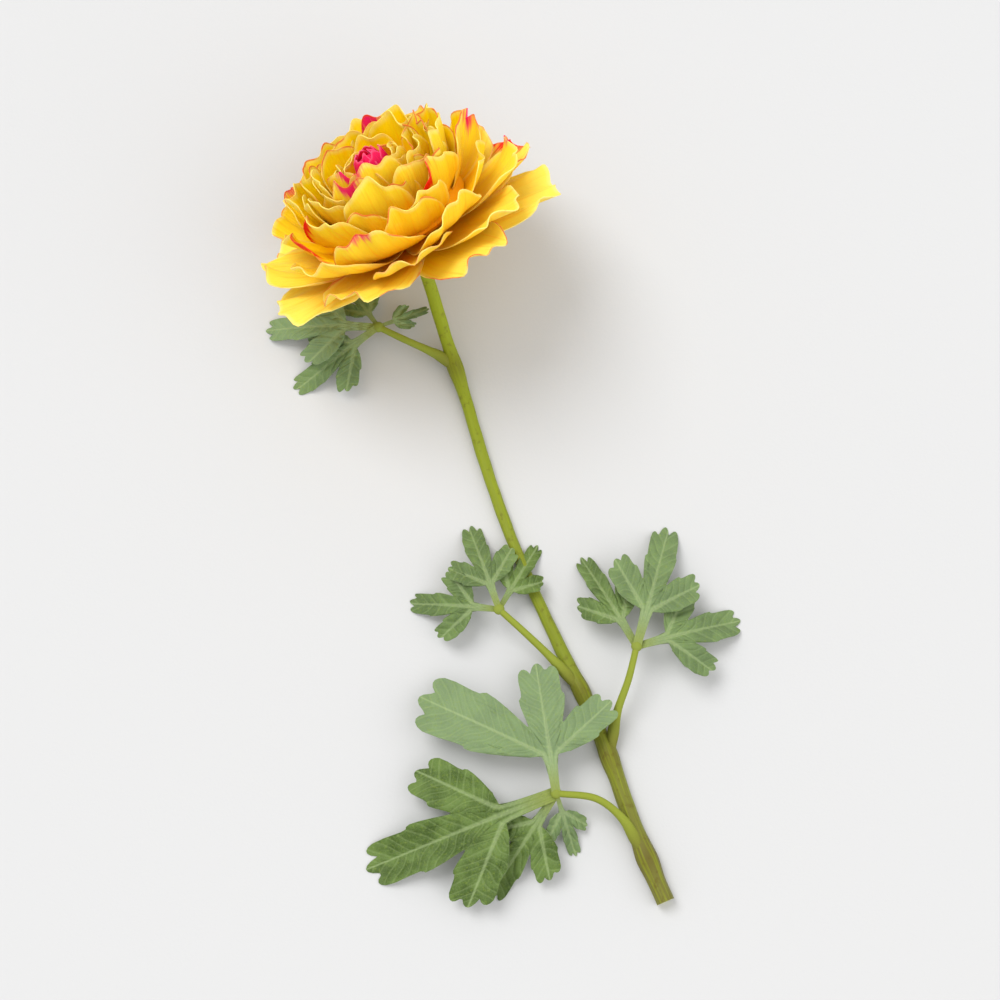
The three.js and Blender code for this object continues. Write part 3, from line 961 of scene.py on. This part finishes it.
@dataclass
class Calyx:
    """The green cup behind the petals with its five spread sepals."""

    head: Head
    sepals: int = 5
    grid: tuple[int, int] = (14, 24)
    length: float = 18.0
    half_width: float = 4.6
    thickness: float = 0.45
    profile: Pairs = ((4.6, -5.2), (11, -5.4), (17.5, -7.2), (23, -11.5))
    cup: Pairs = (
        (0, -8.7), (3.2, -8.7), (4.2, -7.4), (5.4, -5.8), (7, -4.4), (7, -3.3), (0, -3.3),
    )  # fmt: skip
    cup_steps: int = 32

    def build(self, material: Material) -> None:
        """Draws the cup and the sepals."""
        piece = Piece("calyx_sepals", "rim")
        piece.turned_body(self.cup, self.cup_steps, self.head.point, lambda point: {"rim": 5.0})
        for k in range(self.sepals):
            piece.sheet(*self.grid, *self.sepal(k), self.thickness)
        piece.finish(material, "calyx")

    def sepal(self, k: int) -> tuple[Surface, Marks]:
        """The shape and marks of one sepal.

        Args:
            k: The sepal's number round the cup.

        Returns:
            The functions that give its surface and its marks.
        """
        turn = tau * k / self.sepals + 0.2

        def surface(u: float, v: float) -> Vector:
            distance, height = bezier(self.profile, v * (1 - 0.12 * u * u))
            belly = sin(pi * min(0.985, 0.2 + 0.8 * v)) ** 0.8
            side = self.half_width * u * belly * (1 + 0.05 * sin(9 * v + k))
            height -= 0.07 * side * side + 0.35 * v * sin(2.5 * u + 3 * v + k)
            return self.head.point(*spun(distance, side, turn), height)

        def marks(u: float, v: float) -> Values:
            return {"rim": min((1 - v) * self.length, (1 - abs(u)) * self.half_width)}

        return surface, marks


# ---- the stem ----


@dataclass
class Stem:
    """The stem from the calyx to the cut, with swollen joints where the leaves part from it."""

    head: Head
    joints_at: list[Vector]
    top: float = 9.0
    straight: float = 5.5
    sink: float = 0.3
    radii: Triple = (2.5, 2.1, 3.4)  # at the calyx, half way and at the cut
    swell: float = 0.8
    reach: float = 6.0
    ribs: int = 11
    rib_share: float = 0.022
    bark: float = 0.35
    pith: float = 1.4
    hollow_depth: float = 2.5
    sides: int = 36
    rings: int = 220
    route: tuple[tuple[float, float, float | None], ...] = (
        (14.6, -31, 18.4), (18.3, -42, 10.5), (22.3, -54, 5.2), (27, -68, 2.6), (34, -92, None),
        (42, -116, None), (51.5, -140, 2.8), (61.5, -162, None), (71, -182, None),
        (80, -203.5, None), (88.5, -228, None), (95.5, -246, None), (101, -259, None),
    )  # fmt: skip

    def plain_radius(self, share: float) -> float:
        """The radius at a share of the length, without the joints."""
        top, middle, foot = self.radii
        if share < 0.5:
            return mix(top, middle, share / 0.5)
        return mix(middle, foot, (share - 0.5) / 0.5)

    def curve(self) -> list[Vector]:
        """The centreline from the calyx to the cut. It lies on the surface where z isn't given."""
        points = [self.head.point(0, 0, -self.top - down) for down in (0.0, self.straight)]
        for k, (x, y, z) in enumerate(self.route, 2):
            lying = self.plain_radius(k / (len(self.route) + 1)) - self.sink
            points.append(Vector((x, y, lying if z is None else z)))
        return smooth_curve(points, self.rings)

    def build(self, material: Material) -> None:
        """Draws the ribbed bar and its hollow cut end."""
        piece = Piece("stem_bar", "along", "east", "north", "joint", "cut")
        curve = self.curve()
        length = sum((b - a).length for a, b in zip(curve, curve[1:]))
        joints = [
            min(range(len(curve)), key=lambda k: (curve[k].xy - joint.xy).length) / self.rings
            for joint in self.joints_at
        ]

        def swelling(share: float) -> float:
            return sum(exp(-(((share - j) * length / self.reach) ** 2)) for j in joints)

        def radius(share: float, angle: float) -> float:
            swollen = self.plain_radius(share) + self.swell * swelling(share)
            knobbly = 0.05 * sin(61 * share + 2 * angle) + 0.04 * sin(143 * share + angle)
            ribbed = 1 + self.rib_share * cos(self.ribs * angle + 4 * share)
            return swollen * ribbed + knobbly

        def marks(share: float, angle: float) -> Values:
            joint = min(1.0, swelling(share))
            return {"along": share, "east": cos(angle), "north": sin(angle), "joint": joint}

        cap = piece.tube(curve, self.sides, radius, marks)
        self.hollow(piece, cap, (curve[-2] - curve[-1]).normalized())
        for vertex in piece.bm.verts:
            vertex.co.z = max(0.0, vertex.co.z)
        piece.finish(material, "stem")

    def hollow(self, piece: Piece, cap: bmesh.types.BMFace, inwards: Vector) -> None:
        """Opens the cut end, where a ring of pale pith stands round the hollow middle.

        Args:
            piece: The stem's piece.
            cap: The face at the cut end.
            inwards: The direction from the cut end into the stem.
        """
        bmesh.ops.inset_region(piece.bm, faces=[cap], thickness=self.bark)
        for vertex in cap.verts:
            piece.set_marks(vertex, {"cut": 1.0})
        bmesh.ops.inset_region(piece.bm, faces=[cap], thickness=self.pith)
        bottom = bmesh.ops.extrude_discrete_faces(piece.bm, faces=[cap])["faces"][0]
        for vertex in bottom.verts:
            vertex.co += inwards * self.hollow_depth
            piece.set_marks(vertex, {"cut": 0.5})


# ---- the leaves ----


@dataclass(frozen=True)
class Leaflet:
    """One leaflet: its tip, its width, the arch it rises in and the lengths of its three lobes."""

    tip: tuple[float, ...]
    width: float
    rise: float
    lobes: Triple = (0.8, 1.0, 0.8)


@dataclass
class Leaf:
    """One divided leaf: a stalk from the stem, and leaflets that part at the stalk's end.

    A leaflet has a narrow neck. Past it, rays fan out from a hub to the rims of its lobes.
    """

    name: str
    number: int
    stalk: tuple[Triple, ...]
    leaflets: tuple[Leaflet, ...]
    thickness: float = 0.4
    large_width: float = 20.0
    large_grid: tuple[int, int] = (108, 48)
    small_grid: tuple[int, int] = (72, 34)
    stalk_radii: Pair = (1.7, 1.2)
    stalk_steps: int = 40
    stalk_sides: int = 16
    sheath: float = 0.7
    knot_radius: float = 2.1
    rib_radius: float = 0.36
    lobe_angle: float = radians(56.0)
    sinus: float = 0.39
    shoulder: float = 0.6
    notching: float = 0.1
    quilting: float = 0.35
    creasing: float = 0.0175
    waving: float = 0.02
    frilling: float = 0.5
    rolling: float = 0.1
    neck: float = 0.28
    wing: float = 0.035
    neck_step: float = 0.7
    neck_lead: float = 0.6

    def build(self, material: Material) -> None:
        """Draws the stalk, its knot and every leaflet with a rib along each lobe."""
        names = ("tone", "stalk", "sheath", "back", "from_rib", "past_vein", "taper")
        piece = Piece(self.name + "_blades", *names)
        curve = smooth_curve([Vector(point) for point in self.stalk], self.stalk_steps)
        green = {"tone": 0.3, "stalk": 1.0, "from_rib": 9.0, "taper": 1.0}

        def stalk_marks(share: float, angle: float) -> Values:
            return green | {"sheath": ease(share, 0.5, 0.15)}

        piece.tube(curve, self.stalk_sides, self.stalk_radius, stalk_marks)
        knot = bmesh.ops.create_icosphere(piece.bm, subdivisions=3, radius=self.knot_radius)["verts"]
        bmesh.ops.scale(piece.bm, vec=(1.0, 1.0, 0.7), verts=knot)
        bmesh.ops.translate(piece.bm, vec=curve[-1], verts=knot)
        for vertex in knot:
            piece.set_marks(vertex, green | {"stalk": 0.8})
        for k, leaflet in enumerate(self.leaflets):
            surface, marks = self.leaflet(leaflet, curve[-1], 10 * self.number + k)
            large = leaflet.width > self.large_width
            grid = self.large_grid if large else self.small_grid
            piece.sheet(*grid, surface, marks, self.thickness)
            for lobe in (-1, 0, 1):
                radius = self.rib_radius * (1.0 if large else 0.7)
                self.rib(piece, surface, lobe / LOBES_PER_UNIT, radius)
        piece.finish(material, self.name)

    def stalk_radius(self, share: float, angle: float) -> float:
        """The stalk's radius, with the sheath that widens where it leaves the stem.

        Args:
            share: The share of its length.
            angle: The angle round it in radians.

        Returns:
            The radius in millimetres.
        """
        plain = mix(*self.stalk_radii, share) * (1 + 0.04 * cos(5 * angle))
        flared = self.sheath * exp(-(((share - 0.3) / 0.14) ** 2))
        return (plain + flared) * mix(0.15, 1.0, ease(share, -0.02, 0.32))

    def lobe_reach(self, u: float, lobes: Triple, key: int) -> float:
        """How far a leaflet reaches along a ray, as a share of its length.

        Args:
            u: The ray, from -1 to 1 across the leaflet.
            lobes: The lengths of its three lobes.
            key: The number that its irregularities are drawn from.

        Returns:
            The reach: a blunt toothed end on each lobe, and a round cut between two.
        """
        slot = (u + 1) * LOBES_PER_UNIT
        lobe = min(2, int(slot))
        ray = 2 * (slot - lobe) - 1
        off = abs(ray)
        phase = 0.9 * jitter(key + lobe, 13)
        toothed = abs(cos(7.4 * ray + 0.5 * sin(3 * ray + phase) + phase)) ** 0.8
        end = 0.95 - 0.3 * off * off + self.notching * toothed
        outer = lobe != 1 and (ray > 0) == (lobe == 2)
        cut = self.sinus * (0.55 if outer else 1.0)
        step = self.shoulder + 0.05 * jitter(key + lobe, 14 + (ray > 0))
        fall = 0.35 * ease(off, step - 0.12, step + 0.08) + 0.65 * ease(off, step + 0.12, 1.0)
        return mix(lobes[lobe] * end, cut, fall)

    def leaflet(self, leaflet: Leaflet, start: Vector, key: int) -> tuple[Surface, Marks]:
        """The shape and marks of one leaflet.

        Args:
            leaflet: Its sizes.
            start: The stalk's end.
            key: The number that its irregularities are drawn from.

        Returns:
            The functions that give its surface and its marks.
        """
        base = start.z + (self.neck_step if key % 2 else -self.neck_step)
        x, y, end = (*leaflet.tip, 0.0)[:3]
        ahead = Vector((x - start.x, y - start.y))
        length = ahead.length
        heading = atan2(ahead.y, ahead.x)
        spread = (1 - self.neck) * length
        stretch = leaflet.width / (2 * 0.8 * spread * sin(self.lobe_angle))
        swing, frills, bends = (3 * jitter(key, feature) for feature in (8, 10, 11))
        roll = self.rolling * jitter(key, 9)
        tone = 0.5 + 0.5 * jitter(key, 12)

        def drawn(u: float, v: float) -> tuple[float, float, float, float, float]:
            reach = v**1.5 * spread * mix(self.sinus, self.lobe_reach(u, leaflet.lobes, key), v)
            hub = self.neck * length * sin(0.5 * pi * min(1.0, v / self.neck))
            wing = self.wing * length * (1 - 0.7 * v)
            angle = LOBES_PER_UNIT * self.lobe_angle * u
            forward = hub + reach * cos(angle)
            side = stretch * reach * sin(angle) + wing * u
            lobe = (min(2, int((u + 1) * LOBES_PER_UNIT)) - 1) / LOBES_PER_UNIT
            off = LOBES_PER_UNIT * self.lobe_angle * (u - lobe)
            from_rib = stretch * reach * abs(sin(off)) + wing * abs(u - lobe)
            wander = 0.9 * sin(0.4 * reach + 5 * off + bends)
            wander += copysign(0.25 * VEIN_SPACING, off)
            return forward, side, reach, from_rib, hub + reach * cos(off) - from_rib + wander

        def surface(u: float, v: float) -> Vector:
            forward, side, reach, from_rib, past_vein = drawn(u, v)
            forward += self.neck_lead
            share = forward / length
            arch = mix(base, end, share) + leaflet.rise * 4 * share * (1 - share)
            crease = -self.creasing * length * ease(reach / length, 0.02, 0.5) * cos(3 * pi * u)
            wave = self.waving * length * share * sin(0.22 * side + swing)
            frill = self.frilling * v**5 * sin(17 * u + frills)
            from_vein = abs((past_vein / VEIN_SPACING + 0.5) % 1.0 - 0.5) * VEIN_SPACING
            quilted = self.quilting * ease(from_vein, 0.0, 1.5) * ease(from_rib, 0.3, 2.0)
            shape = arch + crease + wave + frill + quilted * ease(v, 1.0, 0.85)
            height = rested(shape + roll * side, 0.5 * self.thickness)
            east, north = spun(forward, side, heading)
            return Vector((start.x + east, start.y + north, height))

        def marks(u: float, v: float) -> Values:
            *_, from_rib, past_vein = drawn(u, v)
            stalk = 0.6 * ease(v, 0.16, 0.0)
            taper = mix(1.5, 0.35, v)
            veins = {"from_rib": from_rib, "past_vein": past_vein, "taper": taper}
            return {"tone": tone, "stalk": stalk} | veins

        return surface, marks

    def rib(self, piece: Piece, surface: Surface, lobe: float, radius: float) -> None:
        """Adds the rib that runs down one lobe and thins out towards its tip.

        Args:
            piece: The leaf's piece.
            surface: The leaflet's surface.
            lobe: The place of the lobe's middle across the leaflet.
            radius: The rib's radius where it starts.
        """
        steps, end, thinnest, sunk = 18, 0.92, 0.12, 0.4 * radius
        line = [surface(lobe, end * k / steps) - UP * sunk for k in range(steps + 1)]
        piece.tube(
            [Vector((point.x, point.y, max(point.z, radius))) for point in line],
            8,
            lambda share, angle: mix(radius, thinnest, share),
            lambda share, angle: {"tone": 0.5, "stalk": 0.35 * (1 - share), "taper": 1.0},
        )


LEAVES = (
    Leaf(
        "upper_leaf",
        0,
        (
            (25.6, -63.7, 3.1), (22.4, -57.2, 4.8), (18.6, -53.6, 6.2), (13, -51, 7.6),
            (4, -47.3, 9.5), (-6, -42.5, 10),
        ),
        (
            Leaflet((-48, -41), 27, 4), Leaflet((-37, -64), 24, 2), Leaflet((-19, -22), 14, 0),
            Leaflet((12, -35, 8), 9, 0),
        ),
    ),
    Leaf(
        "middle_left_leaf",
        1,
        (
            (73.5, -187.8, 2.4), (70, -181.8, 3.0), (66.2, -176.4, 4.2), (59.6, -169.6, 7),
            (49, -160, 11), (40, -152, 12),
        ),
        (Leaflet((8, -148), 24, 3), Leaflet((29, -120), 24, 3), Leaflet((54, -127), 17, 2)),
    ),
    Leaf(
        "middle_right_leaf",
        2,
        (
            (82.9, -211.5, 2.6), (82.2, -205.4, 3.0), (82.2, -199.2, 4.2), (83.8, -190, 7),
            (88, -178, 11), (91, -166, 13),
        ),
        (Leaflet((129, -155), 31, 4), Leaflet((104, -121), 31, 5), Leaflet((72, -132), 21, 3)),
    ),
    Leaf(
        "lower_leaf",
        3,
        (
            (96.7, -249, 2.9), (93.6, -243.4, 3.5), (90, -236.2, 4.9), (85.4, -229, 7),
            (76, -222, 9.5), (61, -220, 10),
        ),
        (
            Leaflet((-6, -246), 50, 5), Leaflet((54, -174, 8), 45, 3, (0.85, 1.0, 1.5)),
            Leaflet((37, -256), 29, 2), Leaflet((68, -241), 14, 0),
        ),
    ),
)  # fmt: skip


# ---- the studio ----


@dataclass
class Studio:
    """The pale floor, the soft lights and the camera that looks down on the flower."""

    paper: str = "#CACACA"
    fibre_mm: float = 1.1  # real fibres are 0.02 mm wide, too fine to show
    fibre_height_mm: float = 0.04
    floor_size: float = 9.0
    key: tuple[Triple, float, float] = ((-0.5, 0.5, 1.0), radians(35.0), 1.8)
    fill: tuple[Triple, float, float] = ((1.0, -0.5, 1.0), radians(70.0), 0.9)
    sky: float = 0.8
    lens: float = 85.0
    clip: Pair = (0.01, 50.0)
    elevation: float = radians(78.0)
    seen_height: float = 0.372
    look_at: Triple = (0.0, -0.002, 0.02)

    def build(self) -> None:
        """Sets up everything that isn't the flower."""
        self.build_floor()
        self.build_lights()
        self.build_camera()
        bpy.context.scene.view_settings.view_transform = "Standard"

    def build_floor(self) -> None:
        """A wide sheet of matte paper under the flower."""
        # Uncoated paper is pressed from fibres: it mirrors nothing and has a faint soft grain.
        material = bpy.data.materials.new("matte_paper")
        material.use_nodes = True
        tree = material.node_tree
        tree.nodes.clear()
        (fibres,) = patches(tree, (self.fibre_mm, 2.0))
        height = {"Distance": self.fibre_height_mm * METRES, "Height": fibres}
        bump = add(tree, "Bump", height)
        sockets = {"Base Color": linear(self.paper), "Roughness": 0.9, "Normal": bump}
        shader = add(tree, "BsdfPrincipled", sockets)
        add(tree, "OutputMaterial", {"Surface": shader})
        bm = bmesh.new()
        bmesh.ops.create_grid(bm, x_segments=8, y_segments=8, size=self.floor_size)
        meshed(bm, "paper_floor", material)

    def build_lights(self) -> None:
        """A wide soft key from the upper left, a wider fill from the right and an even sky."""
        for name, (place, spread, strength) in (("key", self.key), ("fill", self.fill)):
            light = bpy.data.lights.new(name, "SUN")
            light.angle = spread
            light.energy = strength
            self.aim(placed(name, light), Vector(place), Vector(place))
        world = bpy.data.worlds.new("sky")
        world.use_nodes = True
        tree = world.node_tree
        tree.nodes.clear()
        white = {"Color": linear("#FFFFFF"), "Strength": self.sky}
        sky = add(tree, "Background", white)
        add(tree, "OutputWorld", {"Surface": sky})
        bpy.context.scene.world = world

    def build_camera(self) -> None:
        """A long lens that looks steeply down along the flower."""
        camera = bpy.data.cameras.new("camera")
        camera.lens = self.lens
        camera.clip_start, camera.clip_end = self.clip
        back = Vector((0.0, -cos(self.elevation), sin(self.elevation)))
        distance = self.seen_height * self.lens / camera.sensor_width
        eye = placed("camera", camera)
        self.aim(eye, Vector(self.look_at) + back * distance, back)
        bpy.context.scene.camera = eye

    def aim(self, thing: bpy.types.Object, place: Vector, back: Vector) -> None:
        """Sets a light or the camera in its place, with its back to a direction."""
        thing.location = place
        thing.rotation_euler = (-back).to_track_quat("-Z", "Y").to_euler()


# ---- the whole scene ----


def main() -> None:
    """Builds the flower's pieces in order, then the studio."""
    logging.basicConfig(level=logging.INFO, format="%(message)s")
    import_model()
    head = Head()
    Bloom(head).build(PetalFinish().material())
    Heart(head).build(HeartFinish().material())
    Calyx(head).build(SepalFinish().material())
    Stem(head, [Vector(leaf.stalk[1]) for leaf in LEAVES]).build(StemFinish().material())
    blades = LeafFinish().material()
    for leaf in LEAVES:
        leaf.build(blades)
    Studio().build()


if __name__ == "__main__":
    main()
